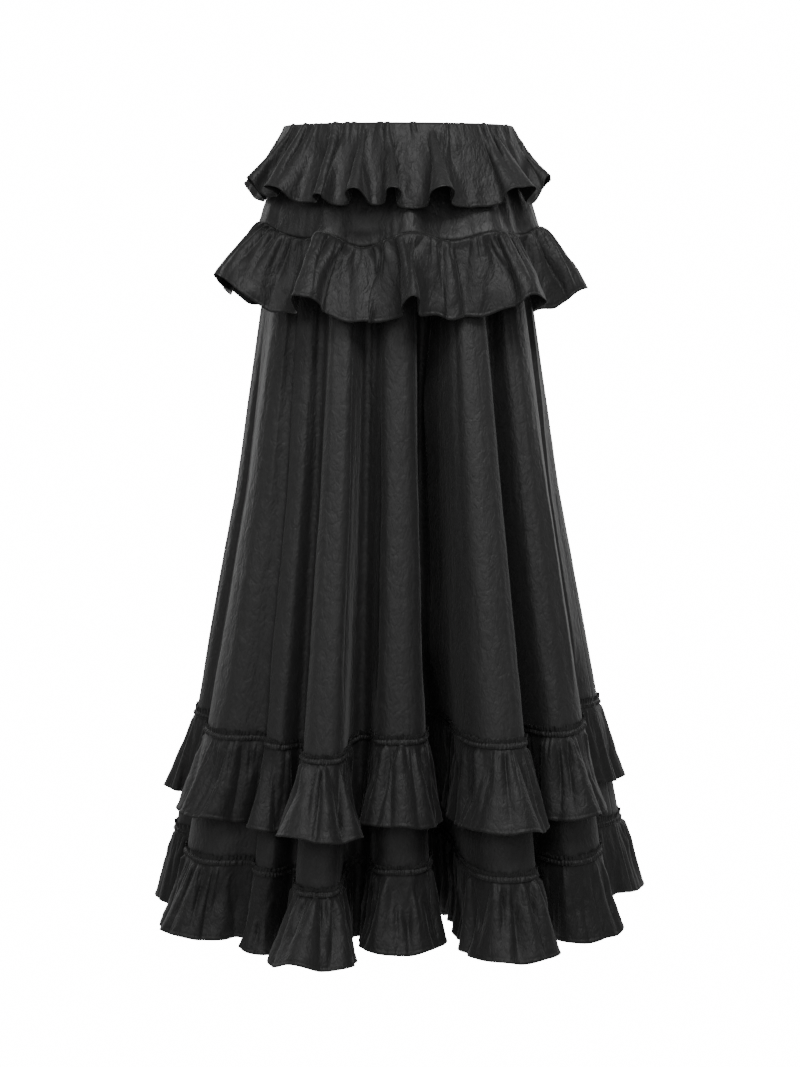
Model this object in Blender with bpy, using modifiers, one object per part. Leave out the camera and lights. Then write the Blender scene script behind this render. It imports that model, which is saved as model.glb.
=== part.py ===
"""Tiered maxi skirt in crinkled taffeta, hollow as it hangs when worn.

Metres, +Z up, the front towards -Y. The origin is the middle of the waist opening. Azimuths are in
degrees round the skirt from the middle of the front, growing towards +X.
"""

import bpy
import numpy as np

WALL = 0.0014
SEAM_GAP = 0.0003
# The skirt's upper edge is cut this far below the yoke's, because their walls lean together there.
SEAM_DROP = 0.0020
# Half of the gap in a side seam, as an azimuth.
SEAM_HALF = 0.1
# How far off what it is sewn to a laid header is, and the gathered head of each upper ruffle.
HEADER_GAP = 0.0007
HEAD_GAP_1 = 0.0006
HEAD_GAP_2 = 0.0014
# The side seams of every tier, on the right and on the left.
SEAMS = (90.0, 270.0)

WAIST_DIP = 0.011
CASING_HEIGHT = 0.03

# The stitched lines of the two ruched headers, before their sag.
HEADER_3 = -0.685
HEADER_4 = -0.826
# The frill of a ruched header stands this far above its stitched line.
FRILL = 0.006
BODY_END = HEADER_4 - 0.024
# The folds of the body are full size at FOLD_END, and this part of it at the yoke's seam.
FOLD_END = -0.826
FOLD_START = 0.12
FOLD_GROWTH = 0.85
# Below the seam the yoke's shallow folds turn into the body's deep ones over this height.
FOLD_CHANGE = 0.07
# How far a fold bulges sideways, as a part of its depth.
FOLD_BULGE = 0.06
# Over 1, a fold is broader than the hollow beside it.
FOLD_BREADTH = 1.4

# Heights of the body's rings between its seam and its end.
BODY_HEIGHTS = (-0.172, -0.225, -0.33, -0.50, HEADER_3, -0.75, HEADER_4, BODY_END)
YOKE_SHARES = (0.0, 0.5, 1.0)
SET_IN_SHARES = (0.0, 0.33, 0.67, 1.0)
LAID_SHARES = (0.45, 1.0)
# Where corners lie on the way from a ridge to the next hollow.
EVEN_STEPS = (0.0, 0.25, 0.5, 0.75)
GATHERED_STEPS = (0.0, 0.0625, 0.125, 0.1875, 0.25, 0.375, 0.5, 0.75)


def table(columns, rows):
    """The rows as one array for each named column."""
    return dict(zip(columns, np.array(rows, float).T))


# The skirt's outline down to the hem, before its folds.
PROFILE = table(
    ("height", "half_width", "half_depth"),
    (
        (-0.920, 0.2715, 0.197),
        (-0.420, 0.1830, 0.1355),
        (-0.200, 0.153, 0.114),
        (-0.130, 0.1655, 0.121),
        (0.0, 0.127, 0.088),
    ),
)

PROFILE_WAIST = (PROFILE["half_width"][-1], PROFILE["half_depth"][-1])

# A row for each ridge and each dip of the yoke: how far it stands out, and its seam's height.
YOKE = table(
    ("at", "out", "seam"),
    (
        (5.0, 0.006, -0.134),
        (21.0, -0.004, -0.142),
        (40.0, 0.006, -0.131),
        (57.0, -0.003, -0.133),
        (75.0, 0.004, -0.122),
        (105.0, -0.003, -0.121),
        (128.0, 0.005, -0.124),
        (146.0, -0.005, -0.131),
        (165.0, 0.006, -0.127),
        (184.0, -0.005, -0.134),
        (203.0, 0.006, -0.128),
        (222.0, -0.005, -0.131),
        (240.0, 0.005, -0.123),
        (262.0, -0.002, -0.118),
        (285.0, 0.003, -0.117),
        (322.0, -0.005, -0.139),
        (329.0, 0.006, -0.132),
        (345.0, -0.012, -0.149),
    ),
)

# A row for each hanging fold of the body and the hollow on its right: the azimuths at the top and
# at the hem, how far the ridge stands out, leans to its right, and how far the hollow goes in, then
# how far each lower ruffle flares on the ridge.
FOLDS = table(
    ("ridge_top", "ridge_hem", "out", "lean", "dip_top", "dip_hem", "dip", "flare_3", "flare_4"),
    (
        (359.5, 358.5, 0.004, 0.008, 14.0, 13.0, 0.185, 0.030, 0.026),
        (30.0, 22.0, 0.056, 0.020, 45.0, 36.0, 0.060, 0.030, 0.028),
        (56.0, 44.0, 0.034, 0.012, 78.0, 68.0, 0.026, 0.026, 0.018),
        (102.0, 103.0, 0.016, 0.006, 117.0, 118.0, 0.050, 0.018, 0.015),
        (132.0, 132.0, 0.022, 0.010, 146.0, 146.0, 0.060, 0.028, 0.026),
        (160.0, 159.0, 0.034, 0.010, 172.0, 172.0, 0.055, 0.032, 0.026),
        (184.0, 184.0, 0.016, -0.008, 196.0, 197.0, 0.060, 0.026, 0.030),
        (208.0, 209.0, 0.036, -0.010, 220.0, 221.0, 0.055, 0.032, 0.026),
        (232.0, 232.0, 0.022, 0.008, 246.0, 246.0, 0.042, 0.026, 0.022),
        (262.0, 260.0, 0.014, 0.0, 284.0, 279.0, 0.016, 0.022, 0.010),
        (300.0, 301.0, 0.014, 0.004, 311.0, 317.0, 0.020, 0.030, 0.028),
        (317.0, 323.5, 0.002, 0.004, 324.0, 330.5, 0.030, 0.024, 0.022),
        (335.5, 339.2, 0.044, 0.014, 348.0, 348.0, 0.066, 0.041, 0.042),
    ),
)

# How far both stitched headers sag below their heights.
SAG = table(
    ("at", "sag"),
    (
        (30.0, 0.0),
        (52.0, -0.001),
        (80.0, -0.012),
        (110.0, -0.006),
        (180.0, 0.0),
        (262.0, 0.004),
        (300.0, 0.009),
        (335.5, 0.017),
        (359.5, 0.001),
    ),
)

# A row for each wave of the top ruffle and the dip on its right, at the hem: azimuths, how far each
# stands out from the waist, how far the wave rolls out to both sides and how far it is lifted.
RUFFLE_1 = table(
    ("wave", "out", "dip_at", "dip", "roll", "lift"),
    (
        (358.5, 0.068, 5.0, 0.036, 0.0035, 0.0),
        (16.0, 0.068, 27.5, 0.034, 0.0055, 0.0),
        (56.0, 0.058, 67.0, 0.034, 0.0050, 0.010),
        (80.0, 0.046, 100.0, 0.030, 0.0050, 0.030),
        (114.0, 0.056, 127.0, 0.034, 0.0055, 0.016),
        (141.0, 0.066, 151.0, 0.034, 0.0050, 0.0),
        (162.0, 0.068, 173.0, 0.035, 0.0050, 0.0),
        (184.0, 0.066, 195.0, 0.034, 0.0050, 0.0),
        (207.0, 0.066, 218.0, 0.034, 0.0055, 0.0),
        (231.0, 0.062, 243.0, 0.034, 0.0050, 0.006),
        (257.0, 0.054, 283.0, 0.034, 0.0050, 0.024),
        (292.0, 0.060, 300.0, 0.040, 0.0020, 0.022),
        (307.0, 0.062, 321.0, 0.034, 0.0045, 0.008),
        (329.5, 0.062, 337.0, 0.038, 0.0035, 0.0),
        (344.0, 0.064, 351.0, 0.035, 0.0035, 0.0),
    ),
)
RUFFLE_1_LENGTH = 0.100
# Over 1, a ruffle stands off early below its head, and at 1 it slopes evenly.
RUFFLE_1_BELLY = 1.05

# The same for the second ruffle, from the seam that it is set into.
RUFFLE_2 = table(
    ("wave", "out", "dip_at", "dip", "roll", "lift"),
    (
        (4.0, 0.056, 12.0, 0.016, 0.0045, 0.0),
        (20.0, 0.030, 30.0, 0.022, 0.0030, 0.0),
        (46.0, 0.056, 60.0, 0.024, 0.0060, 0.0),
        (81.0, 0.054, 99.0, 0.016, 0.0060, 0.004),
        (112.0, 0.052, 124.0, 0.016, 0.0050, 0.0),
        (136.0, 0.040, 147.0, 0.016, 0.0045, 0.0),
        (159.0, 0.056, 171.0, 0.016, 0.0050, 0.0),
        (182.0, 0.036, 194.0, 0.016, 0.0045, 0.0),
        (206.0, 0.056, 218.0, 0.016, 0.0050, 0.0),
        (231.0, 0.050, 244.0, 0.016, 0.0050, 0.0),
        (258.0, 0.052, 280.0, 0.030, 0.0050, 0.008),
        (294.0, 0.066, 318.0, 0.020, 0.0050, 0.006),
        (331.0, 0.056, 340.0, 0.036, 0.0045, 0.0),
        (348.5, 0.040, 355.0, 0.020, 0.0025, 0.0),
    ),
)
RUFFLE_2_LENGTH = 0.090
RUFFLE_2_BELLY = 1.60

# The two laid-on ruffles: how long they hang and how far they stay off a hollow.
RUFFLE_3_LENGTH = 0.094
RUFFLE_4_LENGTH = 0.087
HOLLOW_FLARE = 0.004
# Under 1, the flare is narrower than the fold under it.
FLARE_BREADTH = 0.85
# The azimuths to both sides that give the direction of a flat, and of a fold.
FLAT_REACH = 0.2
FOLD_REACH = 2.0
# Their gathers on each ridge: how deep at the hem, how wide and how far down the fold's sides, both
# as parts of the way to the hollow.
GATHER_DEPTH = 0.0045
GATHER_WIDTH = 0.125
GATHERS_END = 0.3

TAFFETA = (0.018, 0.018, 0.018, 1.0)


def around(places, values, at, breadth=1.0):
    """The values at these azimuths, eased from each row of a closed table to the next, with the
    share of the way from the last row and the change over that way. A breadth over 1 broadens the
    high rows at the cost of the low ones."""
    order = np.argsort(places % 360)
    places = places[order] % 360
    values = values[order]
    at = at % 360
    last = (np.searchsorted(places, at, side="right") - 1) % len(places)
    following = (last + 1) % len(places)
    way = (places[following] - places[last]) % 360
    share = ((at - places[last]) % 360) / way
    change = values[following] - values[last]
    share = np.where(change < 0, share**breadth, 1 - (1 - share) ** breadth)
    eased = (1 - np.cos(np.pi * share)) / 2
    return values[last] + change * eased, share, change


def rows_of(tier, ridge, ridge_value, dip, dip_value):
    """The azimuths and values of a tier's ridges and dips, one after the other."""
    places = np.concatenate([tier[ridge], tier[dip]])
    values = np.concatenate([ridge_value, dip_value])
    return places, values


def azimuths(ridges, dips, steps):
    """Azimuths once round from the left side seam, with corners at these steps from each ridge and
    at the seams."""
    places = np.sort(np.concatenate([ridges, dips]) % 360)
    found = [SEAMS]
    for place, following in zip(places, np.roll(places, -1)):
        down = np.array(steps)
        up = np.append(0, 1 - down[:0:-1])
        found.append(place + (following - place) % 360 * (down if place in ridges % 360 else up))
    return np.unique(np.round(np.concatenate(found) - SEAMS[1], 6) % 360) + SEAMS[1]


def ring(at, half_width, half_depth):
    """Points on an ellipse, with the directions out from it and along it."""
    angle = np.radians(at)
    point = np.stack([half_width * np.sin(angle), -half_depth * np.cos(angle)], -1)
    along = np.stack([half_width * np.cos(angle), half_depth * np.sin(angle)], -1)
    along /= np.linalg.norm(along, axis=-1, keepdims=True)
    out = np.stack([along[..., 1], -along[..., 0]], -1)
    return point, out, along


def outline(height):
    """Half width and half depth of the skirt at this height."""
    return (
        np.interp(height, PROFILE["height"], PROFILE["half_width"])[..., None],
        np.interp(height, PROFILE["height"], PROFILE["half_depth"])[..., None],
    )


def placed(at, height, out, side):
    """Points this far out from the outline and along it."""
    half_width, half_depth = outline(height)
    point, outward, along = ring(at, half_width[..., 0], half_depth[..., 0])
    point = point + outward * out[..., None] + along * side[..., None]
    return np.concatenate([point, height[..., None]], -1)


def seam_height(at):
    return around(YOKE["at"], YOKE["seam"], at)[0]


def waist_height(at):
    return -WAIST_DIP * (1 + np.cos(np.radians(at))) / 2


def yoke_point(at, share):
    """The yoke's outer face, from the waist (share 0) to the second ruffle's seam (share 1)."""
    height = waist_height(at) + share * (seam_height(at) - waist_height(at))
    out = around(YOKE["at"], YOKE["out"], at)[0] * share
    return placed(at, height, out, np.zeros_like(at))


def body_point(at, height):
    """The body's outer face."""
    below = np.clip((seam_height(at) - height) / (YOKE["seam"].mean() - FOLD_END), 0, 1)
    grown = FOLD_START + (1 - FOLD_START) * below**FOLD_GROWTH
    changed = np.clip((seam_height(at) - height) / FOLD_CHANGE, 0, 1)
    changed = changed * changed * (3 - 2 * changed)
    nothing = np.zeros_like(FOLDS["dip"])
    top = ("ridge_top", "dip_top")
    folds = rows_of(FOLDS, top[0], FOLDS["out"], top[1], -FOLDS["dip"])
    depth, share, change = around(*folds, at, FOLD_BREADTH)
    turns = (FOLDS["ridge_hem"] - FOLDS["ridge_top"], FOLDS["dip_hem"] - FOLDS["dip_top"])
    turn = around(*rows_of(FOLDS, top[0], turns[0], top[1], turns[1]), at)[0]
    lean = around(*rows_of(FOLDS, top[0], FOLDS["lean"], top[1], nothing), at)[0]
    bulge = FOLD_BULGE * np.abs(change) * np.sin(2 * np.pi * share)
    out = around(YOKE["at"], YOKE["out"], at)[0] * (1 - changed) + depth * grown * changed
    return placed(at + turn * grown, height, out, (lean + bulge) * grown * changed)


def flared(at, flares):
    """A lower ruffle's flare, from its ridges' to its hollows', with the share of the way between."""
    folds = rows_of(FOLDS, "ridge_top", FOLDS[flares], "dip_top", 0 * FOLDS["dip"] + HOLLOW_FLARE)
    _, way, change = around(*folds, at)
    return around(*folds, at, FLARE_BREADTH)[0], np.where(change < 0, way, 1 - way)


def body_corners():
    """The azimuths of the body's corners, once round and back to the first."""
    corners = azimuths(FOLDS["ridge_top"], FOLDS["dip_top"], EVEN_STEPS)
    return np.append(corners, corners[0] + 360)


def on_flats(point, at):
    """Points on the flats between the corners of the body or the yoke."""
    corners = body_corners()
    turned = (at - corners[0]) % 360 + corners[0]
    last = np.clip(np.searchsorted(corners, turned, side="right") - 1, 0, len(corners) - 2)
    share = ((turned - corners[last]) / (corners[last + 1] - corners[last]))[..., None]
    return point(corners[last]) * (1 - share) + point(corners[last + 1]) * share


def off_body(at, height, gap, flare):
    """Points off the flats of the body's outer face, level: the gap square to the flat, and the
    flare square to the fold as a whole."""

    def body(at):
        return body_point(at, height)

    point = on_flats(body, at)
    for nearby, distance in ((FLAT_REACH, gap), (FOLD_REACH, flare)):
        along = on_flats(body, at + nearby) - on_flats(body, at - nearby)
        out = np.stack([along[..., 1], -along[..., 0], 0 * along[..., 0]], -1)
        out /= np.linalg.norm(out, axis=-1, keepdims=True)
        point = point + out * distance[..., None]
    return point


def set_in_ruffle(tier, length, belly, start, gap, at, share):
    """A ruffle that hangs from start(at), from its head (share 0) to its hem (share 1)."""
    places, values = rows_of(tier, "wave", tier["out"], "dip_at", tier["dip"])
    rolls = rows_of(tier, "wave", tier["roll"], "dip_at", np.roll(tier["roll"], -1))[1]
    out, way, _ = around(places, values, at)
    roll = around(places, rolls, at)[0] * np.sin(2 * np.pi * way)
    head = on_flats(start, at)
    half_width, half_depth = outline(head[..., 2])
    _, outward, along = ring(at, half_width[..., 0], half_depth[..., 0])
    spread = out * share * (belly + (1 - belly) * share) + gap
    level = outward * spread[..., None] + along * (roll * share)[..., None]
    lift = around(*rows_of(tier, "wave", tier["lift"], "dip_at", 0.5 * tier["lift"]), at)[0]
    drop = (np.sqrt(length**2 - out**2) - lift) * share
    return head + np.concatenate([level, -drop[..., None]], -1)


def laid_ruffle(header, length, flares, at, share):
    """A ruffle on the body, from its stitched header (share 0) to its hem (share 1)."""
    flare, way = flared(at, flares)
    gather = np.cos(2 * np.pi * way / GATHER_WIDTH) * (way < GATHERS_END)
    hung = np.maximum(share, 0)
    off = hung * flare + hung * (1 + hung) / 2 * GATHER_DEPTH * gather
    drop = length * share * np.sqrt(1 - (flare / length) ** 2) + around(SAG["at"], SAG["sag"], at)[0]
    return off_body(at, header - drop, np.full_like(at, HEADER_GAP), off)


def casing_point(at, share):
    """The elastic channel's outer face, just inside the yoke."""
    yoke = yoke_point(at, (SEAM_GAP + share * CASING_HEIGHT) / -YOKE["seam"].mean())
    outward = ring(at, *PROFILE_WAIST)[1]
    yoke[..., :2] -= outward * (WALL + 3 * SEAM_GAP)
    return yoke


def sheet(name, point, at, shares, outward, colour, collection):
    """An open surface through point(azimuth, share), given its wall by Solidify."""
    grid = np.stack([point(at, np.full_like(at, share)) for share in shares])
    rows, columns = grid.shape[:2]
    corner = np.arange(rows * columns).reshape(rows, columns)
    faces = np.stack([corner[1:, :-1], corner[1:, 1:], corner[:-1, 1:], corner[:-1, :-1]], -1)
    mesh = bpy.data.meshes.new(name)
    mesh.from_pydata(grid.reshape(-1, 3).tolist(), [], faces.reshape(-1, 4).tolist())
    mesh.shade_smooth()
    piece = bpy.data.objects.new(name, mesh)
    collection.objects.link(piece)
    wall = piece.modifiers.new("wall", "SOLIDIFY")
    wall.thickness = WALL
    wall.offset = 1 if outward else -1
    material = bpy.data.materials.new(name)
    material.use_nodes = True
    shader = material.node_tree.nodes["Principled BSDF"]
    shader.inputs["Base Color"].default_value = colour
    shader.inputs["Roughness"].default_value = 0.42
    mesh.materials.append(material)
    return piece


def halves(name, point, at, shares, outward, collection):
    """A tier in two pieces, front and back, with side seams between them."""
    right, left = SEAMS[0] + 360, SEAMS[1]
    inner = at[(at > left) & (at < right)]
    front = np.concatenate([[left + SEAM_HALF], inner, [right - SEAM_HALF]])
    inner = at[(at > right) & (at < left + 360)]
    back = np.concatenate([[right + SEAM_HALF], inner, [left + 360 - SEAM_HALF]])
    sheet(name + "_front", point, front, shares, outward, TAFFETA, collection)
    sheet(name + "_back", point, back, shares, outward, TAFFETA, collection)


def skirt_grid_point(at, share):
    """The body by ring number: ring 0 is its seam, and the others are at set heights."""
    if share[0] == 0:
        return body_point(at, seam_height(at) - SEAM_DROP)
    return body_point(at, np.full_like(at, BODY_HEIGHTS[int(share[0]) - 1]))


def build():
    for old in list(bpy.data.objects):
        bpy.data.objects.remove(old)
    collection = bpy.data.collections.new("tiered_maxi_skirt")
    bpy.context.scene.collection.children.link(collection)

    body_at = body_corners()
    casing = sheet("waist_casing", casing_point, body_at, (0.0, 1.0), False, TAFFETA, collection)
    weld = casing.modifiers.new("join", "WELD")
    weld.merge_threshold = 0.00001
    casing.modifiers.move(1, 0)
    halves("yoke", yoke_point, body_at, YOKE_SHARES, False, collection)
    rings = range(len(BODY_HEIGHTS) + 1)
    halves("skirt", skirt_grid_point, body_at, rings, False, collection)

    def waist(at):
        return yoke_point(at, np.zeros_like(at))

    def seam(at):
        return yoke_point(at, np.ones_like(at)) - np.array([0, 0, SEAM_GAP])

    for number, tier, length, belly, start, gap in (
        (1, RUFFLE_1, RUFFLE_1_LENGTH, RUFFLE_1_BELLY, waist, HEAD_GAP_1),
        (2, RUFFLE_2, RUFFLE_2_LENGTH, RUFFLE_2_BELLY, seam, HEAD_GAP_2),
    ):

        def point(at, share):
            return set_in_ruffle(tier, length, belly, start, gap, at, share)

        at = azimuths(tier["wave"], tier["dip_at"], EVEN_STEPS)
        halves(f"ruffle_{number}", point, at, SET_IN_SHARES, True, collection)

    laid_at = azimuths(FOLDS["ridge_top"], FOLDS["dip_top"], GATHERED_STEPS)
    for number, header, length in ((3, HEADER_3, RUFFLE_3_LENGTH), (4, HEADER_4, RUFFLE_4_LENGTH)):

        def point(at, share):
            return laid_ruffle(header, length, f"flare_{number}", at, share)

        halves(f"ruffle_{number}", point, laid_at, (-FRILL / length, *LAID_SHARES), True, collection)


build()
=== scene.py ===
"""Tiered maxi skirt in black crinkled taffeta, as it hangs when worn.

Metres, +Z up, the front towards -Y. Azimuths are in degrees round the skirt from the middle of the
front, growing towards +X.
"""

import math

import bpy
import numpy as np
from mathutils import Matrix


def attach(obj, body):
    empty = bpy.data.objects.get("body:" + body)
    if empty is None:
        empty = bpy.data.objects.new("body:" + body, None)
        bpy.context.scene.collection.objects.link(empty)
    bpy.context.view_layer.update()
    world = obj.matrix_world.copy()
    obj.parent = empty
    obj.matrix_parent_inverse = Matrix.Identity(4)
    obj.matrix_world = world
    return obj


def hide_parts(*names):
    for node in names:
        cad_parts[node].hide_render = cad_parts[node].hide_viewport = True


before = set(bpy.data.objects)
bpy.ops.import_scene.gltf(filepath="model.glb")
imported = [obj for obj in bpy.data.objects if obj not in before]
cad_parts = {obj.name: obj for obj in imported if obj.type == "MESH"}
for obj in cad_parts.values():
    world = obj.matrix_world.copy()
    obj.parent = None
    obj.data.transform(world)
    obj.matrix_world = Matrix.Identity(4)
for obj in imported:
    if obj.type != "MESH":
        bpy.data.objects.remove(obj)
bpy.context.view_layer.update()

# The camera: two metres off and a little under the middle of the skirt's height, tipped down.
view = bpy.data.cameras.new("camera")
view.sensor_fit = "VERTICAL"
view.sensor_height = 36
view.lens = 63.46
camera = bpy.data.objects.new("camera", view)
camera.location = (0.002, -2.2, -0.245)
camera.rotation_euler = (math.radians(84), 0, 0)
bpy.context.scene.collection.objects.link(camera)
bpy.context.scene.camera = camera

# The studio: a small pale floor well below the hem, a white surround that is bright only where the
# camera sees it, and broad soft lamps. The front lamps give the folds their lit faces, the side
# lamps their thin bright edges, and the one behind shows the back.
FLOOR = -1.45
SURROUND_LIGHT = 0.34
SURROUND_SEEN = 16.0
bpy.ops.mesh.primitive_plane_add(size=1.6, location=(0, 0, FLOOR))
floor = bpy.context.object
floor.name = "floor"
paper = bpy.data.materials.new("paper")
paper.use_nodes = True
paper.node_tree.nodes["Principled BSDF"].inputs["Base Color"].default_value = (0.9, 0.9, 0.9, 1)
paper.node_tree.nodes["Principled BSDF"].inputs["Roughness"].default_value = 0.9
floor.data.materials.append(paper)

surround = bpy.data.worlds.new("surround")
surround.use_nodes = True
bpy.context.scene.world = surround
backdrop = surround.node_tree.nodes["Background"]
backdrop.inputs["Color"].default_value = (1, 1, 1, 1)
seen = surround.node_tree.nodes.new("ShaderNodeLightPath").outputs["Is Camera Ray"]
strength = surround.node_tree.nodes.new("ShaderNodeMapRange")
strength.inputs["To Min"].default_value = SURROUND_LIGHT
strength.inputs["To Max"].default_value = SURROUND_SEEN
surround.node_tree.links.new(seen, strength.inputs["Value"])
surround.node_tree.links.new(strength.outputs["Result"], backdrop.inputs["Strength"])

for name, place, turn, size, power in (
    ("key", (0.50, -1.35, 1.30), (42, 0, 20), (0.8, 0.7), 33),
    ("fill", (-1.5, -1.9, 1.0), (60, 0, -38), (1.2, 1.2), 20),
    ("front", (0.05, -2.0, 0.30), (75, 0, 0), (1.1, 0.9), 6),
    ("back", (0.3, 2.4, 1.0), (62, 0, 173), (1.6, 1.2), 14),
    ("left_edge", (-1.6, 1.3, 0.2), (84, 0, -129), (0.6, 1.6), 9),
    ("right_edge", (1.6, 1.3, 0.2), (84, 0, 129), (0.6, 1.6), 8),
):
    lamp = bpy.data.lights.new(name, "AREA")
    lamp.shape = "RECTANGLE"
    lamp.size, lamp.size_y = size
    lamp.energy = power
    lamp_object = bpy.data.objects.new(name, lamp)
    lamp_object.location = place
    lamp_object.rotation_euler = [math.radians(angle) for angle in turn]
    bpy.context.scene.collection.objects.link(lamp_object)


# The cloth: black polyester taffeta, crinkled in finishing, with a soft sheen. The crinkle runs
# upright on the long body, and turns to broader slanting crumples towards the hem and on ruffles.
class Socket:
    """A shader value, with sums and products written as such."""

    def __init__(self, tree, socket):
        self.tree = tree
        self.socket = socket

    def maths(self, operation, *values):
        node = self.tree.nodes.new("ShaderNodeMath")
        node.operation = operation
        for place, value in zip(node.inputs, values):
            if isinstance(value, Socket):
                self.tree.links.new(value.socket, place)
            else:
                place.default_value = value
        return Socket(self.tree, node.outputs[0])

    def __add__(self, other):
        return self.maths("ADD", self, other)

    def __radd__(self, other):
        return self.maths("ADD", other, self)

    def __sub__(self, other):
        return self.maths("SUBTRACT", self, other)

    def __rsub__(self, other):
        return self.maths("SUBTRACT", other, self)

    def __mul__(self, other):
        return self.maths("MULTIPLY", self, other)

    def __rmul__(self, other):
        return self.maths("MULTIPLY", other, self)


class Shader:
    """A material's node tree, to which nodes are added by type, settings and inputs."""

    def __init__(self, name):
        self.material = bpy.data.materials.new(name)
        self.material.use_nodes = True
        self.tree = self.material.node_tree
        self.surface = self.tree.nodes["Principled BSDF"]

    def node(self, kind, settings=None, output=0, **inputs):
        node = self.tree.nodes.new("ShaderNode" + kind)
        for name, value in (settings or {}).items():
            setattr(node, name, value)
        self.fill(node, inputs)
        return Socket(self.tree, node.outputs[output])

    def vector(self, operation, *values, **inputs):
        node = self.tree.nodes.new("ShaderNodeVectorMath")
        node.operation = operation
        for place, value in zip(node.inputs, values):
            if isinstance(value, Socket):
                self.tree.links.new(value.socket, place)
            else:
                place.default_value = value
        self.fill(node, inputs)
        return Socket(self.tree, node.outputs[0])

    def fill(self, node, inputs):
        for name, value in inputs.items():
            place = node.inputs[name.replace("_", " ")]
            if isinstance(value, Socket):
                self.tree.links.new(value.socket, place)
            else:
                place.default_value = value


# The cloth's thickness, the height of its crinkle, and waves of it in a metre: its wandering, its
# upright threads, its flat facets and its lumps.
CLOTH = 0.0005
CRINKLE_HEIGHT = 0.0007
WANDER = 45.0
SLUB = 260.0
FACET = 190.0
LUMP = 150.0


def taffeta(name, upright, crumple, shade):
    """Crinkled black taffeta: its upright crinkle, its slanting crumple and how light it is."""
    shader = Shader(name)
    place = shader.node("TexCoord", output="Object")
    wander = shader.node("TexNoise", output="Color", Vector=place, Scale=WANDER, Detail=3.0)
    warped = shader.vector("MULTIPLY_ADD", wander, (0.012, 0.012, 0.020), place)
    hanging = shader.node("Mapping", Vector=warped, Scale=(1.0, 1.0, 0.25))
    slub = shader.node("TexNoise", Vector=hanging, Scale=SLUB, Detail=3.0, Roughness=0.6)
    slanted = shader.node("Mapping", Vector=warped, Rotation=(0.5, 0.9, 0.2), Scale=(1.0, 0.9, 0.45))
    facet = shader.node("TexVoronoi", {"feature": "DISTANCE_TO_EDGE"}, Vector=slanted, Scale=FACET)
    lump = shader.node("TexNoise", Vector=slanted, Scale=LUMP, Detail=3.0, Roughness=0.6)
    facet = facet.maths("MINIMUM", facet, 0.25)
    height = slub * upright + facet * (0.8 * crumple) + lump * (1.7 * crumple)
    bump = shader.node("Bump", Strength=1.0, Distance=CRINKLE_HEIGHT, Height=height)
    tone = shader.node("MapRange", Value=slub, To_Min=0.55, To_Max=1.5)
    black = shader.vector("SCALE", (shade, shade, shade), Scale=tone)
    roughness = shader.node("MapRange", Value=lump, To_Min=0.43, To_Max=0.63)
    inputs = {"Base Color": black, "Roughness": roughness, "Normal": bump}
    inputs.update({"Sheen Weight": 0.08, "Sheen Roughness": 0.45, "Specular IOR Level": 25.0 * shade})
    shader.fill(shader.surface, inputs)
    return shader.material


BODY_TAFFETA = taffeta("taffeta_body", 0.6, 1.1, 0.0138)
# The ruffles are the same taffeta as the body. Their darker colour and lower specular are painted shade,
# standing in for the dimmer light the ruffles catch.
RUFFLE_TAFFETA_PAINTED_SHADE = taffeta("taffeta_ruffle", 0.35, 1.25, 0.0104)
CASING_TAFFETA = taffeta("taffeta_casing", 0.4, 0.4, 0.0130)


# The yoke: the upper band of the body, a front and a back piece gathered into the waist and sewn
# at the sides, which falls in soft shallow folds down to the second ruffle's seam.
def table(columns, rows):
    """The rows as one array for each named column."""
    return dict(zip(columns, np.array(rows, float).T))


PROFILE = table(
    ("height", "half_width", "half_depth"),
    (
        (-0.920, 0.2715, 0.197),
        (-0.420, 0.1830, 0.1355),
        (-0.200, 0.153, 0.114),
        (-0.130, 0.1655, 0.121),
        (0.0, 0.127, 0.088),
    ),
)
YOKE = table(
    ("at", "out", "seam"),
    (
        (5.0, 0.006, -0.134),
        (21.0, -0.004, -0.142),
        (40.0, 0.006, -0.131),
        (57.0, -0.003, -0.133),
        (75.0, 0.004, -0.122),
        (105.0, -0.003, -0.121),
        (128.0, 0.005, -0.124),
        (146.0, -0.005, -0.131),
        (165.0, 0.006, -0.127),
        (184.0, -0.005, -0.134),
        (203.0, 0.006, -0.128),
        (222.0, -0.005, -0.131),
        (240.0, 0.005, -0.123),
        (262.0, -0.002, -0.118),
        (285.0, 0.003, -0.117),
        (322.0, -0.005, -0.139),
        (329.0, 0.006, -0.132),
        (345.0, -0.012, -0.149),
    ),
)
WAIST_DIP = 0.011
# The side seams of every tier, as azimuths.
SEAMS = (90.0, 270.0)


def around(places, values, at, breadth=1.0):
    """The values at these azimuths, eased from each row of a closed table to the next, with the
    share of the way from the last row and the change over that way. A breadth over 1 broadens the
    high rows at the cost of the low ones."""
    order = np.argsort(places % 360)
    places = places[order] % 360
    values = values[order]
    at = at % 360
    last = (np.searchsorted(places, at, side="right") - 1) % len(places)
    following = (last + 1) % len(places)
    way = (places[following] - places[last]) % 360
    share = ((at - places[last]) % 360) / way
    change = values[following] - values[last]
    share = np.where(change < 0, share**breadth, 1 - (1 - share) ** breadth)
    eased = (1 - np.cos(np.pi * share)) / 2
    return values[last] + change * eased, share, change


def ring(at, half_width, half_depth):
    """Points on an ellipse, with the directions out from it and along it."""
    angle = np.radians(at)
    point = np.stack([half_width * np.sin(angle), -half_depth * np.cos(angle)], -1)
    along = np.stack([half_width * np.cos(angle), half_depth * np.sin(angle)], -1)
    along /= np.linalg.norm(along, axis=-1, keepdims=True)
    out = np.stack([along[..., 1], -along[..., 0]], -1)
    return point, out, along


def outline(height):
    """Half width and half depth of the skirt at this height."""
    return (
        np.interp(height, PROFILE["height"], PROFILE["half_width"]),
        np.interp(height, PROFILE["height"], PROFILE["half_depth"]),
    )


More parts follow.
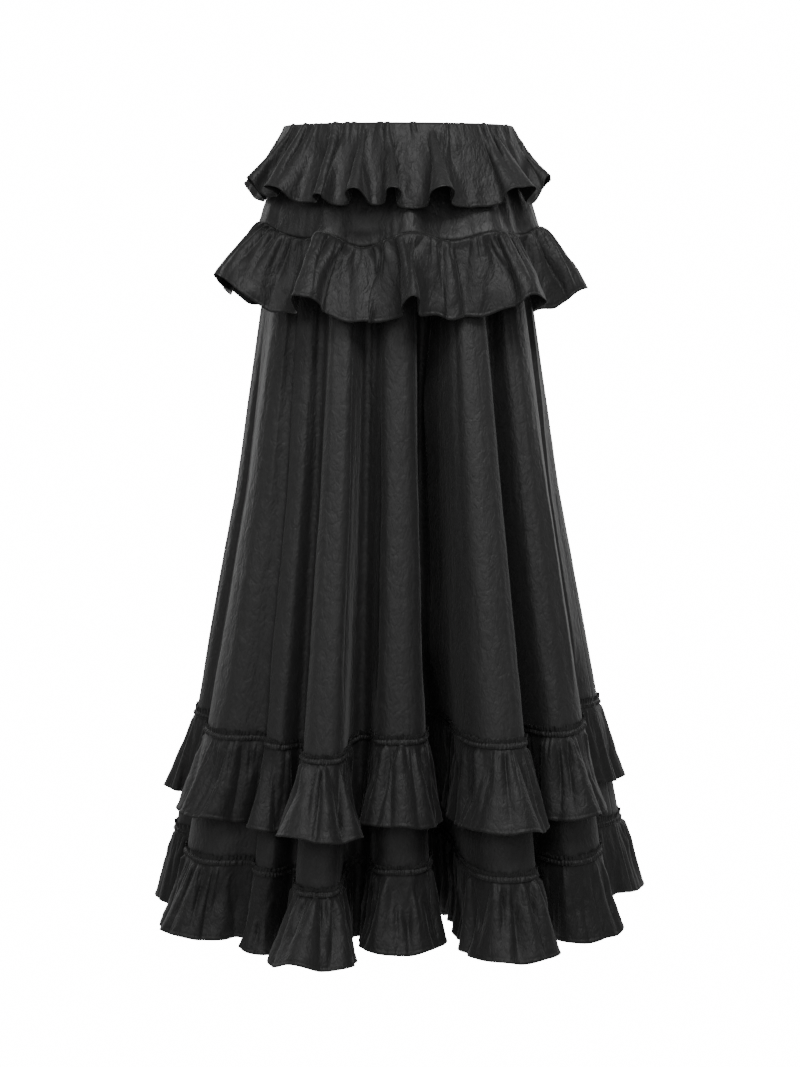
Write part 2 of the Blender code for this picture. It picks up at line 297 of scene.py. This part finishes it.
def placed(at, height, out, side):
    """Points this far out from the outline and along it."""
    point, outward, along = ring(at, *outline(height))
    point = point + outward * out[..., None] + along * side[..., None]
    return np.concatenate([point, height[..., None]], -1)


def seam_height(at):
    return around(YOKE["at"], YOKE["seam"], at)[0]


def waist_height(at):
    return -WAIST_DIP * (1 + np.cos(np.radians(at))) / 2


def yoke_point(at, share):
    height = waist_height(at) + share * (seam_height(at) - waist_height(at))
    out = around(YOKE["at"], YOKE["out"], at)[0] * share
    return placed(at, height, out, np.zeros_like(at))


def smooth(value):
    """0 to 1 with a soft start and end."""
    value = np.clip(value, 0, 1)
    return value * value * (3 - 2 * value)


def noise(along, down, size_along, size_down, seed):
    """Soft random relief from -1 to 1 with lumps of this size."""
    lattice = np.random.default_rng(seed).uniform(-1, 1, (256, 256))
    across = along / size_along
    lower = down / size_down
    column = np.floor(across).astype(int)
    row = np.floor(lower).astype(int)
    part_across = smooth(across - column)
    part_down = smooth(lower - row)
    corner = [lattice[(row + y) % 256, (column + x) % 256] for y in (0, 1) for x in (0, 1)]
    upper = corner[0] * (1 - part_across) + corner[1] * part_across
    under = corner[2] * (1 - part_across) + corner[3] * part_across
    return upper * (1 - part_down) + under * part_down


def crumpled(along, down, size, seed):
    """Creased relief from 0 to 1: slanting facets that meet in sharp ridges."""
    relief = 0
    for turn, weight in ((0.9, 0.5), (-0.6, 0.3), (0.2, 0.2)):
        across = along * math.cos(turn) + down * math.sin(turn)
        lower = down * math.cos(turn) - along * math.sin(turn)
        wander = 0.35 * size * noise(along, down, size * 1.7, size * 1.7, seed + 7)
        lump = noise(across + wander, lower + wander, size, 2.3 * size, seed)
        relief = relief + weight * (1 - np.abs(lump))
        seed += 1
    return relief


def outwards(grid):
    """Unit normals of a grid whose rows go down and whose columns go round."""
    normal = np.cross(np.gradient(grid, axis=0), np.gradient(grid, axis=1))
    return normal / np.linalg.norm(normal, axis=-1, keepdims=True)


FINE_STEPS = 8000


def evenly(point, first, last, count):
    """Azimuths evenly along the cloth from one to the other, and how far along it each lies."""
    dense = np.linspace(first, last, FINE_STEPS)
    path = point(dense)
    length = np.append(0, np.cumsum(np.linalg.norm(np.diff(path, axis=0), axis=1)))
    steps = np.linspace(0, length[-1], count)
    return np.interp(steps, length, dense), steps


def cloth(name, grid, along, down, material, wall=CLOTH, outer=1):
    """A thin shell on a grid of points, with a map of the flat cloth in metres."""
    rows, columns = grid.shape[:2]
    corner = np.arange(rows * columns).reshape(rows, columns)
    faces = np.stack([corner[1:, :-1], corner[1:, 1:], corner[:-1, 1:], corner[:-1, :-1]], -1)
    faces = faces.reshape(-1, 4)
    mesh = bpy.data.meshes.new(name)
    mesh.from_pydata(grid.reshape(-1, 3).tolist(), [], faces.tolist())
    flat = np.stack(np.broadcast_arrays(along[None, :], down[:, None]), -1).reshape(-1, 2)
    layer = mesh.uv_layers.new(name="cloth")
    layer.data.foreach_set("uv", flat[faces.reshape(-1)].astype(np.float32).ravel())
    mesh.shade_smooth()
    mesh.materials.append(material)
    piece = bpy.data.objects.new(name, mesh)
    bpy.context.scene.collection.objects.link(piece)
    if wall:
        shell = piece.modifiers.new("shell", "SOLIDIFY")
        shell.thickness = wall
        shell.offset = outer
    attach(piece, "root")
    return piece


def halves():
    """The front and the back, each from one side seam to the other."""
    right, left = SEAMS
    return (("front", left, right + 360), ("back", right, left))


def calm_sides(along, width=0.012):
    """0 at the two side seams of a half and 1 away from them."""
    return smooth(np.minimum(along - along[0], along[-1] - along) / width)


def gathers(along, share, pitch, depth, long_part, slant, seed):
    """Valleys that start at a stitched head (share 0), most of them short, some running on."""
    pick = np.random.default_rng(seed)
    relief = np.zeros((len(share), len(along)))
    place = along[0] + pitch * pick.uniform(0.3, 0.8)
    while place < along[-1]:
        runs = pick.uniform() < long_part
        reach = pick.uniform(1.2, 2.3) if runs else pick.uniform(0.3, 0.8)
        deep = depth * pick.uniform(0.7, 1.35) * (1.0 if runs else 0.75)
        wide = pitch * pick.uniform(0.20, 0.36) * (1 + (1.5 if runs else 1.0) * share)
        middle = place + slant * pick.normal() * share**1.3
        deep = deep * smooth(1 - share / reach) * (1 + (0.4 if runs else 0.0) * share)
        span = 4 * wide.max()
        first, last = np.searchsorted(along, [middle.min() - span, middle.max() + span])
        off = np.abs(along[None, first:last] - middle[:, None]) / wide[:, None]
        relief[:, first:last] -= deep[:, None] * np.exp(-(off**1.1))
        place += pitch * pick.uniform(0.5, 1.5)
    return relief


def yoke_foot(at):
    return yoke_point(at, np.ones_like(at))


# The yoke's relief: soft swells, fine ripples, crumples, gathers that rise from the seam at its foot
# and troughs that sink below the casing.
YOKE_LENGTH = 0.135
YOKE_SWELL = 0.0020
YOKE_RIPPLE = 0.0005
YOKE_CRUMPLE = 0.0005
YOKE_GATHER = 0.0022
YOKE_TROUGH = 0.0060
YOKE_INSET = 0.0006
for half, first, last in halves():
    at, along = evenly(yoke_foot, first, last, 240)
    share = np.linspace(0, 1, 30)
    down = share[:, None] * YOKE_LENGTH
    grid = yoke_point(*np.broadcast_arrays(at[None, :], share[:, None]))
    relief = YOKE_SWELL * noise(along[None, :], down, 0.020, 0.12, 21)
    relief = relief + YOKE_RIPPLE * noise(along[None, :], down, 0.007, 0.05, 22)
    relief = relief + YOKE_CRUMPLE * crumpled(along[None, :], down, 0.02, 31)
    relief = relief + gathers(along, (1 - share) * 3.0, 0.0110, YOKE_GATHER, 0.0, 0.002, 33)
    trough = 0.5 + 0.5 * noise(along[None, :], down, 0.017, 0.20, 23)
    relief = relief - YOKE_TROUGH * trough * smooth((share - 0.25) / 0.3)[:, None]
    calm = smooth(share / 0.1) * (0.3 + 0.7 * smooth((1 - share) / 0.08))
    relief = (relief - YOKE_INSET) * calm[:, None] * calm_sides(along)
    grid = grid + outwards(grid) * relief[..., None]
    piece = cloth(f"yoke_cloth_{half}", grid, along, share * YOKE_LENGTH, BODY_TAFFETA, outer=-1)
    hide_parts(f"yoke_{half}")


# The long body: a front and a back piece that hang from the seam in deep upright folds, with soft
# lesser folds and creases between. The last ruffle's stitched line closes it near the hem.
BODY_END = -0.850
FOLD_END = -0.826
FOLD_START = 0.12
FOLD_GROWTH = 0.85
FOLD_CHANGE = 0.07
FOLD_BULGE = 0.06
FOLD_BREADTH = 1.4
FOLDS = table(
    ("ridge_top", "ridge_hem", "out", "lean", "dip_top", "dip_hem", "dip", "flare_3", "flare_4"),
    (
        (359.5, 358.5, 0.004, 0.008, 14.0, 13.0, 0.185, 0.030, 0.026),
        (30.0, 22.0, 0.056, 0.020, 45.0, 36.0, 0.060, 0.030, 0.028),
        (56.0, 44.0, 0.034, 0.012, 78.0, 68.0, 0.026, 0.026, 0.018),
        (102.0, 103.0, 0.016, 0.006, 117.0, 118.0, 0.050, 0.018, 0.015),
        (132.0, 132.0, 0.022, 0.010, 146.0, 146.0, 0.060, 0.028, 0.026),
        (160.0, 159.0, 0.034, 0.010, 172.0, 172.0, 0.055, 0.032, 0.026),
        (184.0, 184.0, 0.016, -0.008, 196.0, 197.0, 0.060, 0.026, 0.030),
        (208.0, 209.0, 0.036, -0.010, 220.0, 221.0, 0.055, 0.032, 0.026),
        (232.0, 232.0, 0.022, 0.008, 246.0, 246.0, 0.042, 0.026, 0.022),
        (262.0, 260.0, 0.014, 0.0, 284.0, 279.0, 0.016, 0.022, 0.010),
        (300.0, 301.0, 0.014, 0.004, 311.0, 317.0, 0.020, 0.030, 0.028),
        (317.0, 323.5, 0.002, 0.004, 324.0, 330.5, 0.030, 0.024, 0.022),
        (335.5, 339.2, 0.044, 0.014, 348.0, 348.0, 0.066, 0.041, 0.042),
    ),
)


def rows_of(tier, ridge, ridge_value, dip, dip_value):
    """The azimuths and values of a tier's ridges and dips, one after the other."""
    return np.concatenate([tier[ridge], tier[dip]]), np.concatenate([ridge_value, dip_value])


def body_point(at, height):
    below = np.clip((seam_height(at) - height) / (YOKE["seam"].mean() - FOLD_END), 0, 1)
    grown = FOLD_START + (1 - FOLD_START) * below**FOLD_GROWTH
    changed = smooth((seam_height(at) - height) / FOLD_CHANGE)
    nothing = np.zeros_like(FOLDS["dip"])
    top = ("ridge_top", "dip_top")
    folds = rows_of(FOLDS, top[0], FOLDS["out"], top[1], -FOLDS["dip"])
    depth, share, change = around(*folds, at, FOLD_BREADTH)
    turns = (FOLDS["ridge_hem"] - FOLDS["ridge_top"], FOLDS["dip_hem"] - FOLDS["dip_top"])
    turn = around(*rows_of(FOLDS, top[0], turns[0], top[1], turns[1]), at)[0]
    lean = around(*rows_of(FOLDS, top[0], FOLDS["lean"], top[1], nothing), at)[0]
    bulge = FOLD_BULGE * np.abs(change) * np.sin(2 * np.pi * share)
    out = around(YOKE["at"], YOKE["out"], at)[0] * (1 - changed) + depth * grown * changed
    return placed(at + turn * grown, height, out, (lean + bulge) * grown * changed)


def body_ring(height):
    def point(at):
        return body_point(at, np.full_like(at, height))

    return point


# Creases that run down the folds: how far each stands out, half its breadth in degrees, and the
# shares of the way down where it starts and ends.
CREASES = table(
    ("at", "stands", "breadth", "start", "stop"),
    (
        (6.5, -0.0025, 1.0, 0.1, 1.2),
        (17.5, 0.0120, 1.6, 0.0, 1.2),
        (24.0, -0.0016, 0.8, -0.2, 0.7),
        (33.0, -0.0014, 0.8, 0.3, 1.2),
        (43.5, 0.0060, 0.9, 0.1, 1.2),
        (53.0, -0.0020, 1.0, -0.2, 1.2),
        (60.5, 0.0022, 1.0, 0.2, 1.2),
        (71.0, -0.0025, 1.3, 0.0, 1.2),
        (84.5, 0.0050, 1.6, -0.2, 1.3),
        (98.0, -0.0022, 1.0, -0.2, 0.8),
        (108.0, 0.0026, 1.3, 0.2, 1.2),
        (127.0, -0.0024, 1.1, -0.2, 1.2),
        (138.0, 0.0022, 1.0, 0.3, 1.2),
        (153.0, -0.0020, 1.1, -0.2, 0.6),
        (165.0, 0.0026, 1.0, 0.0, 1.2),
        (178.0, -0.0028, 1.2, 0.1, 1.2),
        (190.0, 0.0024, 1.0, -0.2, 0.8),
        (203.0, -0.0022, 1.1, 0.2, 1.2),
        (214.0, 0.0030, 1.2, -0.2, 1.2),
        (227.0, -0.0022, 1.0, 0.0, 0.9),
        (239.0, 0.0026, 1.2, 0.2, 1.2),
        (254.0, -0.0024, 1.1, -0.2, 1.2),
        (268.0, 0.0030, 1.4, -0.2, 1.2),
        (277.0, -0.0022, 1.3, 0.1, 1.2),
        (291.0, -0.0022, 1.0, 0.3, 1.2),
        (306.0, 0.0030, 1.1, -0.2, 0.5),
        (313.0, 0.0034, 1.2, -0.2, 1.2),
        (328.0, -0.0030, 1.0, -0.2, 1.2),
        (341.0, -0.0024, 0.8, 0.0, 1.2),
        (348.8, 0.0015, 1.0, -0.2, 1.2),
        (352.5, -0.0040, 0.7, 0.2, 1.2),
    ),
)
SEAM_DROP = 0.0008
BODY_LENGTH = 0.70
# The panels are cut flared.
BODY_SWELL = 0.0007
BODY_RIPPLE = 0.0002
BODY_CRUMPLE = 0.0013
# The creases fade out above the header of the third ruffle, at this share of the way down.
CREASE_END = 0.745
for half, first, last, columns in ((*halves()[0], 720), (*halves()[1], 500)):
    at, along = evenly(body_ring(-0.70), first, last, columns)
    share = np.linspace(0, 1, 48)
    down = share[:, None] * BODY_LENGTH
    top = seam_height(at) - SEAM_DROP
    height = top[None, :] + share[:, None] * (BODY_END - top)[None, :]
    grid = body_point(np.broadcast_to(at, height.shape), height)
    relief = BODY_SWELL * noise(along[None, :], down, 0.022, 0.16, 41)
    relief = relief + BODY_RIPPLE * noise(along[None, :], down, 0.007, 0.07, 42)
    creased = crumpled(along[None, :], down, 0.016, 51) - 0.6
    relief = relief + BODY_CRUMPLE * creased * smooth(share / 0.5)[:, None]
    for place, stands, breadth, start, stop in zip(*CREASES.values()):
        off = np.abs((at - place + 180) % 360 - 180) / (1.3 * breadth)
        run = smooth((share - start) / 0.25) * smooth((stop - share) / 0.25)
        run = run * smooth((CREASE_END - share) / 0.09)
        wavering = 1 + 0.35 * noise(0 * share + place, share * BODY_LENGTH, 1.0, 0.09, 45)
        relief = relief + stands * (run * wavering)[:, None] * np.exp(-(off**1.3))[None, :]
    under_ruffles = 0.25 + 0.75 * smooth((0.75 - share) / 0.08)
    calm = (smooth(share / 0.06) * under_ruffles)[:, None] * calm_sides(along)
    grid = grid + outwards(grid) * (relief * calm)[..., None]
    piece = cloth(f"skirt_cloth_{half}", grid, along, share * BODY_LENGTH, BODY_TAFFETA, outer=-1)
    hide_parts(f"skirt_{half}")


# The two upper ruffles: straight strips gathered to about half at the head, which stand off in big
# rolled waves. The first hangs from the waist edge, the second is caught in the yoke's seam.
RUFFLE_1 = table(
    ("wave", "out", "dip_at", "dip", "roll", "lift"),
    (
        (358.5, 0.068, 5.0, 0.036, 0.0035, 0.0),
        (16.0, 0.068, 27.5, 0.034, 0.0055, 0.0),
        (56.0, 0.058, 67.0, 0.034, 0.0050, 0.010),
        (80.0, 0.046, 100.0, 0.030, 0.0050, 0.030),
        (114.0, 0.056, 127.0, 0.034, 0.0055, 0.016),
        (141.0, 0.066, 151.0, 0.034, 0.0050, 0.0),
        (162.0, 0.068, 173.0, 0.035, 0.0050, 0.0),
        (184.0, 0.066, 195.0, 0.034, 0.0050, 0.0),
        (207.0, 0.066, 218.0, 0.034, 0.0055, 0.0),
        (231.0, 0.062, 243.0, 0.034, 0.0050, 0.006),
        (257.0, 0.054, 283.0, 0.034, 0.0050, 0.024),
        (292.0, 0.060, 300.0, 0.040, 0.0020, 0.022),
        (307.0, 0.062, 321.0, 0.034, 0.0045, 0.008),
        (329.5, 0.062, 337.0, 0.038, 0.0035, 0.0),
        (344.0, 0.064, 351.0, 0.035, 0.0035, 0.0),
    ),
)
RUFFLE_2 = table(
    ("wave", "out", "dip_at", "dip", "roll", "lift"),
    (
        (4.0, 0.056, 12.0, 0.016, 0.0045, 0.0),
        (20.0, 0.030, 30.0, 0.022, 0.0030, 0.0),
        (46.0, 0.056, 60.0, 0.024, 0.0060, 0.0),
        (81.0, 0.054, 99.0, 0.016, 0.0060, 0.004),
        (112.0, 0.052, 124.0, 0.016, 0.0050, 0.0),
        (136.0, 0.040, 147.0, 0.016, 0.0045, 0.0),
        (159.0, 0.056, 171.0, 0.016, 0.0050, 0.0),
        (182.0, 0.036, 194.0, 0.016, 0.0045, 0.0),
        (206.0, 0.056, 218.0, 0.016, 0.0050, 0.0),
        (231.0, 0.050, 244.0, 0.016, 0.0050, 0.0),
        (258.0, 0.052, 280.0, 0.030, 0.0050, 0.008),
        (294.0, 0.066, 318.0, 0.020, 0.0050, 0.006),
        (331.0, 0.056, 340.0, 0.036, 0.0045, 0.0),
        (348.5, 0.040, 355.0, 0.020, 0.0025, 0.0),
    ),
)
HEAD_GAP = 0.0010


def set_in_ruffle(tier, length, belly, start, at, share):
    """A ruffle that hangs from start(at), from its head (share 0) to its hem (share 1)."""
    places, values = rows_of(tier, "wave", tier["out"], "dip_at", tier["dip"])
    rolls = rows_of(tier, "wave", tier["roll"], "dip_at", np.roll(tier["roll"], -1))[1]
    out, way, _ = around(places, values, at)
    roll = around(places, rolls, at)[0] * np.sin(2 * np.pi * way)
    head = start(at)
    _, outward, along = ring(at, *outline(head[..., 2]))
    spread = out * share * (belly + (1 - belly) * share) + HEAD_GAP
    level = outward * spread[..., None] + along * (roll * share)[..., None]
    lift = around(*rows_of(tier, "wave", tier["lift"], "dip_at", 0.5 * tier["lift"]), at)[0]
    drop = (np.sqrt(length**2 - out**2) - lift) * share
    return head + np.concatenate([level, -drop[..., None]], -1)


def hem_rows(count, length):
    """Shares from head to hem, closer at the head, with rows for the turned hem at the end."""
    body = np.linspace(0, 1, count) ** 1.15 * (1 - 0.008 / length)
    turned = 1 - np.array([0.0052, 0.0044, 0.0030, 0.0]) / length
    return np.append(body, turned)


def turned_hem(share, length):
    """Relief of a narrow hem turned up and stitched: a groove at its stitching, then a soft roll."""
    up = (1 - share) * length
    roll = 0.0003 * np.exp(-(((up - 0.0020) / 0.0016) ** 2))
    return roll - 0.0004 * np.exp(-(((up - 0.0044) / 0.0010) ** 2))


RUFFLE_CRUMPLE = 0.0024
RUFFLE_SWELL = 0.0018
HEM_UNEVEN = 0.0026


def ruffled(grid, along, share, length, relief, seed):
    """A ruffle's grid with its gathers, crumples and hem, and the hem hanging unevenly."""
    down = share[:, None] * length
    free = smooth(share / 0.3)[:, None]
    creases = crumpled(along[None, :], down, 0.014, seed) - 0.6
    swell = noise(along[None, :], down, 0.014, 0.05, seed + 3)
    relief = relief + RUFFLE_CRUMPLE * creases * free + RUFFLE_SWELL * free * swell
    relief = relief + turned_hem(share, length)[:, None]
    relief = relief * calm_sides(along)
    tangent = np.gradient(grid, axis=1)
    tangent /= np.linalg.norm(tangent, axis=-1, keepdims=True)
    lean = 0.7 * noise(along[None, :], down, 0.05, 0.3, seed + 5) * relief
    moved = grid + outwards(grid) * relief[..., None] + tangent * lean[..., None]
    uneven = HEM_UNEVEN * noise(along, 0 * along, 0.019, 1.0, seed + 9)
    moved[..., 2] += (share**2)[:, None] * (uneven * calm_sides(along))[None, :]
    return moved


def room_under(grid, at):
    """How far each point of an upper ruffle stands off the yoke or the body behind it."""
    height = grid[..., 2]
    share = (waist_height(at) - height) / (waist_height(at) - seam_height(at))
    behind = np.where((share < 1)[..., None], yoke_point(at, np.clip(share, 0, 1)), body_point(at, height))
    return np.linalg.norm(grid[..., :2] - behind[..., :2], axis=-1)


def waist(at):
    return yoke_point(at, np.zeros_like(at))


SEAM_COVER = 0.0010


def seam(at):
    return yoke_foot(at) + np.array([0, 0, SEAM_COVER])


# Short gathers and longer troughs sink between puffs, which stand off the head and settle lower down.
GATHER = 0.0075
TROUGH = 0.0085
PUFF = 0.0066
SETTLE = 0.0030
# Each ruffle's waves, its length, how far it bellies out, the line it hangs from, the pitch of its
# gathers and how far they show on its top edge.
for number, tier, length, belly, start, pitch, open_head in (
    (1, RUFFLE_1, 0.100, 1.05, waist, 0.0084, 0.036),
    (2, RUFFLE_2, 0.090, 1.60, seam, 0.0080, 0.0),
):
    for half, first, last in halves():

        def ruffle_middle(at):
            return set_in_ruffle(tier, length, belly, start, at, np.full_like(at, 0.8))

        at, along = evenly(ruffle_middle, first, last, 540)
        share = hem_rows(19, length)
        down = share * length
        spots = np.broadcast_arrays(at[None, :], share[:, None])
        grid = set_in_ruffle(tier, length, belly, start, *spots)
        head_at, head_along = evenly(start, first, last, FINE_STEPS)
        narrow = np.interp(at, head_at, head_along)
        relief = gathers(narrow, share, pitch, GATHER, 0.10, 0.002, 60 + number) + PUFF
        relief = relief + gathers(narrow, share, 2 * pitch, TROUGH, 1.0, 0.003, 65 + number)
        relief = relief * smooth((share + open_head) / 0.07)[:, None]
        relief = relief - SETTLE * smooth(share / 0.5)[:, None]
        room = room_under(grid, np.broadcast_to(at, grid.shape[:2]))
        nearest = 0.0012 + 0.0023 * smooth(share / 0.3)[:, None]
        relief = np.maximum(relief, (nearest - room) * smooth(share / 0.08)[:, None])
        grid = ruffled(grid, along, share, length, relief, 70 + number)
        piece = cloth(f"ruffle_{number}_cloth_{half}", grid, along, down, RUFFLE_TAFFETA_PAINTED_SHADE)
        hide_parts(f"ruffle_{number}_{half}")


# The two lower ruffles: strips shirred on two rows of stitching and laid on the body, with a small
# frill standing above the stitching. They follow the body's folds and flare to the hem.
HEADER_GAP = 0.0008
HOLLOW_FLARE = 0.004
FLARE_BREADTH = 0.85
# How far the stitched headers sag below their heights.
SAG = table(
    ("at", "sag"),
    (
        (30.0, 0.0),
        (52.0, -0.001),
        (80.0, -0.012),
        (110.0, -0.006),
        (180.0, 0.0),
        (262.0, 0.004),
        (300.0, 0.009),
        (335.5, 0.017),
        (359.5, 0.001),
    ),
)
# How much lower the hems hang than an even strip would.
HANG = table(
    ("at", "more"),
    ((4.0, 0.0), (13.0, 0.012), (22.0, 0.0), (180.0, 0.002), (318.0, 0.0), (336.0, -0.009), (347.0, 0.0)),
)
FRILL = 0.0050
SHIRRED = 0.0055
# The rows of a header: how high each lies above its upper stitched line, how far the frill stands
# off there and how far the puffs between the two stitched lines do.
HEADER_ROWS = table(
    ("rise", "frill", "puff"),
    (
        (FRILL + 0.0006, 1.0, 0.0),
        (FRILL, 1.0, 0.0),
        (0.55 * FRILL, 0.8, 0.0),
        (0.2 * FRILL, 0.35, 0.0),
        (0.0, 0.0, 0.0),
        (-0.25 * SHIRRED, 0.0, 0.75),
        (-0.55 * SHIRRED, 0.0, 1.0),
        (-0.85 * SHIRRED, 0.0, 0.6),
        (-SHIRRED, 0.0, 0.0),
    ),
)


def off_body(at, height, gap, flare):
    """Points off the body, level: the gap square to its face and the flare square to the fold."""
    point = body_point(at, height)
    for nearby, distance in ((0.2, gap), (2.0, flare)):
        along = body_point(at + nearby, height) - body_point(at - nearby, height)
        out = np.stack([along[..., 1], -along[..., 0], 0 * along[..., 0]], -1)
        out /= np.linalg.norm(out, axis=-1, keepdims=True)
        point = point + out * distance[..., None]
    return point


def laid_ruffle(header, length, flares, at, share, off=1.0):
    """A ruffle on the body, from its stitched header (share 0) to its hem (share 1), or the body
    under it where off is 0."""
    folds = rows_of(FOLDS, "ridge_top", FOLDS[flares], "dip_top", 0 * FOLDS["dip"] + HOLLOW_FLARE)
    flare = around(*folds, at, FLARE_BREADTH)[0]
    hang = np.maximum(share, 0) * around(HANG["at"], HANG["more"], at)[0]
    drop = length * share * np.sqrt(1 - (flare / length) ** 2)
    drop = drop + around(SAG["at"], SAG["sag"], at)[0] + hang
    gap = np.full_like(at, HEADER_GAP)
    return off_body(at, header - drop, off * gap, off * np.maximum(share, 0) * flare)


def puffs(along, pitch, seed):
    """Small puffs of uneven size with tight valleys between, from 0 to 1 along a shirred row."""
    phase = along / pitch + 0.8 * noise(along, 0 * along, 2.6 * pitch, 1.0, seed)
    size = 0.65 + 0.35 * noise(along, 0 * along, 1.3 * pitch, 1.0, seed + 1)
    return size * np.abs(np.sin(np.pi * phase)) ** 1.3


LOWER_GATHER = 0.0090
LOWER_TROUGH = 0.0110
LOWER_PUFF = 0.0075
HEADER_PUFF = 0.0030
HEADER_FRILL = 0.0032
HEADER_BASE = 0.0003
FRILL_UNEVEN = 0.0018
# Each lower ruffle's number, the height of its stitched header and its length.
for number, header, length in ((3, -0.685, 0.094), (4, -0.826, 0.087)):
    flares = f"flare_{number}"
    for half, first, last, columns in ((*halves()[0], 1080), (*halves()[1], 720)):

        def ruffle_head(at):
            return laid_ruffle(header, length, flares, at, np.full_like(at, 0.3))

        at, along = evenly(ruffle_head, first, last, columns)
        share = hem_rows(17, length)
        down = share * length
        spots = np.broadcast_arrays(at[None, :], share[:, None])
        grid = laid_ruffle(header, length, flares, *spots)
        relief = gathers(along, share, 0.0092, LOWER_GATHER, 0.10, 0.004, 80 + number)
        relief = relief + gathers(along, share, 0.0170, LOWER_TROUGH, 1.0, 0.007, 85 + number)
        relief = relief * smooth(share / 0.06)[:, None]
        relief = relief + LOWER_PUFF * smooth((share - 0.02) / 0.12)[:, None]
        body = laid_ruffle(header, length, flares, *spots, off=0.0)
        room = np.linalg.norm(grid - body, axis=-1)
        relief = np.maximum(relief, -0.7 * room)
        grid = ruffled(grid, along, share, length, relief, 90 + number)
        piece = cloth(f"ruffle_{number}_cloth_{half}", grid, along, down, RUFFLE_TAFFETA_PAINTED_SHADE)
        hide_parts(f"ruffle_{number}_{half}")

        at, along = evenly(ruffle_head, first, last, columns * 7 // 4)
        above = -HEADER_ROWS["rise"] / length
        band = np.stack([laid_ruffle(header, length, flares, at, np.full_like(at, up)) for up in above])
        frill = HEADER_ROWS["frill"][:, None] * puffs(along, 0.0052, 100 + number)
        puffed = HEADER_ROWS["puff"][:, None] * puffs(along, 0.0046, 110 + number)
        relief = HEADER_BASE + (HEADER_FRILL * frill + HEADER_PUFF * puffed) * calm_sides(along, 0.004)
        band = band + outwards(band) * relief[..., None]
        uneven = FRILL_UNEVEN * noise(along, 0 * along, 0.0030, 1.0, 120)
        band[:, :, 2] += HEADER_ROWS["frill"][:, None] * uneven[None, :]
        name = f"ruffle_{number}_header_{half}"
        header_piece = cloth(name, band, along, FRILL - HEADER_ROWS["rise"], RUFFLE_TAFFETA_PAINTED_SHADE, wall=0)


# The waist casing: a channel of the same taffeta, folded over the elastic and stitched inside the
# head of the top ruffle. Its small upright ribs are what the elastic draws together.
CASING_HEIGHT = 0.03
CASING_LENGTH = 0.68
CASING_WALL = 0.0008
CASING_INSET = 0.0023
CASING_DROP = 0.0003
YOKE_DROP = 0.13
RIBS = 80
RIB_DEPTH = 0.0006
at = np.linspace(0, 360, 481)[:-1]
share = np.linspace(0, 1, 9)
at_grid, share_grid = np.broadcast_arrays(at[None, :], share[:, None])
grid = yoke_point(at_grid, (CASING_DROP + share_grid * CASING_HEIGHT) / YOKE_DROP)
inward = ring(at_grid, *outline(grid[..., 2]))[1]
ribs = RIB_DEPTH * np.cos(np.radians(at) * RIBS) * np.sin(np.pi * share[:, None])
grid[..., :2] -= inward * (CASING_INSET + ribs)[..., None]
grid = np.concatenate([grid, grid[:, :1]], 1)
along = np.append(at, 360) / 360 * CASING_LENGTH
down = share * CASING_HEIGHT
piece = cloth("waist_casing_cloth", grid, along, down, CASING_TAFFETA, CASING_WALL, outer=-1)
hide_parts("waist_casing")
